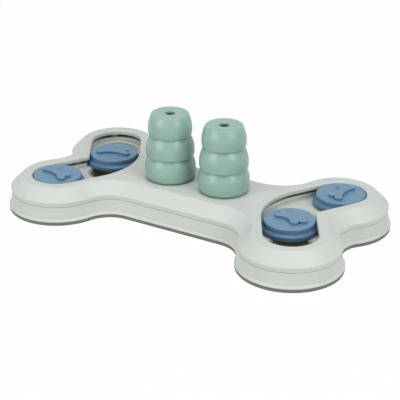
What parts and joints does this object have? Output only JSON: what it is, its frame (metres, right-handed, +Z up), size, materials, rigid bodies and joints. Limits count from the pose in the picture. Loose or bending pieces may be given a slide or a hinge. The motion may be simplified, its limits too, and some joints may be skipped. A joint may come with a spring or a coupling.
{
  "type": "dog puzzle feeder toy",
  "caption": "Bone-shaped treat puzzle board for dogs: round discs slide along V-shaped tracks over treat cups, and hollow tiered cones lift off treat dishes.",
  "frame": {"origin": "centre of the bottom plate's underside, on the surface that the board stands on", "axes": "+X along the bone, +Y to the rear edge, +Z up"},
  "size_m": [0.3116, 0.1754, 0.0876],
  "materials": {
    "cover_plastic": "satin moulded, pale grey-white",
    "base_plastic": "satin moulded, pale grey-white",
    "grip_rubber": "matt, brown-grey",
    "cup_rubber": "matt, brown-grey",
    "disc_plastic": "satin moulded, dusty blue",
    "cone_plastic": "satin moulded, sage green",
    "screw_steel": "zinc plated"
  },
  "bodies": {
    "board": {"cover_shell": "cover_plastic", "base_shell": "base_plastic", "grip_plate": "grip_rubber", "case_screws": "screw_steel", "treat_cup_front_left": "cup_rubber", "treat_cup_middle_left": "cup_rubber", "treat_cup_rear_left": "cup_rubber", "treat_cup_front_right": "cup_rubber", "treat_cup_middle_right": "cup_rubber", "treat_cup_rear_right": "cup_rubber"},
    "glide_front_right": {"disc_glide_front_right": "disc_plastic"},
    "cap_front_right": {"disc_cap_front_right": "disc_plastic"},
    "glide_rear_right": {"disc_glide_rear_right": "disc_plastic"},
    "cap_rear_right": {"disc_cap_rear_right": "disc_plastic"},
    "glide_front_left": {"disc_glide_front_left": "disc_plastic"},
    "cap_front_left": {"disc_cap_front_left": "disc_plastic"},
    "glide_rear_left": {"disc_glide_rear_left": "disc_plastic"},
    "cap_rear_left": {"disc_cap_rear_left": "disc_plastic"},
    "cone_left": {"cone_left": "cone_plastic"},
    "cone_right": {"cone_right": "cone_plastic"}
  },
  "joints": [
    {"name": "slide_front_right", "type": "slide", "parent": "board", "child": "glide_front_right", "axis": [-0.5153, 0.857, 0], "range_m": [-0.0273, 0.0109]},
    {"name": "spin_front_right", "type": "hinge", "parent": "glide_front_right", "child": "cap_front_right", "pos_m": [0.09923, -0.02064, 0], "axis": [0, 0, 1], "continuous": true},
    {"name": "slide_rear_right", "type": "slide", "parent": "board", "child": "glide_rear_right", "axis": [0.5153, 0.857, 0], "range_m": [-0.0219, 0]},
    {"name": "spin_rear_right", "type": "hinge", "parent": "glide_rear_right", "child": "cap_rear_right", "pos_m": [0.11306, 0.045, 0], "axis": [0, 0, 1], "continuous": true},
    {"name": "slide_front_left", "type": "slide", "parent": "board", "child": "glide_front_left", "axis": [-0.5153, -0.857, 0], "range_m": [-0.0212, 0]},
    {"name": "spin_front_left", "type": "hinge", "parent": "glide_front_left", "child": "cap_front_left", "pos_m": [-0.11306, -0.045, 0], "axis": [0, 0, 1], "continuous": true},
    {"name": "slide_rear_left", "type": "slide", "parent": "board", "child": "glide_rear_left", "axis": [0.5153, -0.857, 0], "range_m": [-0.028, 0.0102]},
    {"name": "spin_rear_left", "type": "hinge", "parent": "glide_rear_left", "child": "cap_rear_left", "pos_m": [-0.09887, 0.02004, 0], "axis": [0, 0, 1], "continuous": true},
    {"name": "lift_cone_left", "type": "slide", "parent": "board", "child": "cone_left", "axis": [0, 0, 1], "range_m": [0, 0.06]},
    {"name": "lift_cone_right", "type": "slide", "parent": "board", "child": "cone_right", "axis": [0, 0, 1], "range_m": [0, 0.06]}
  ]
}
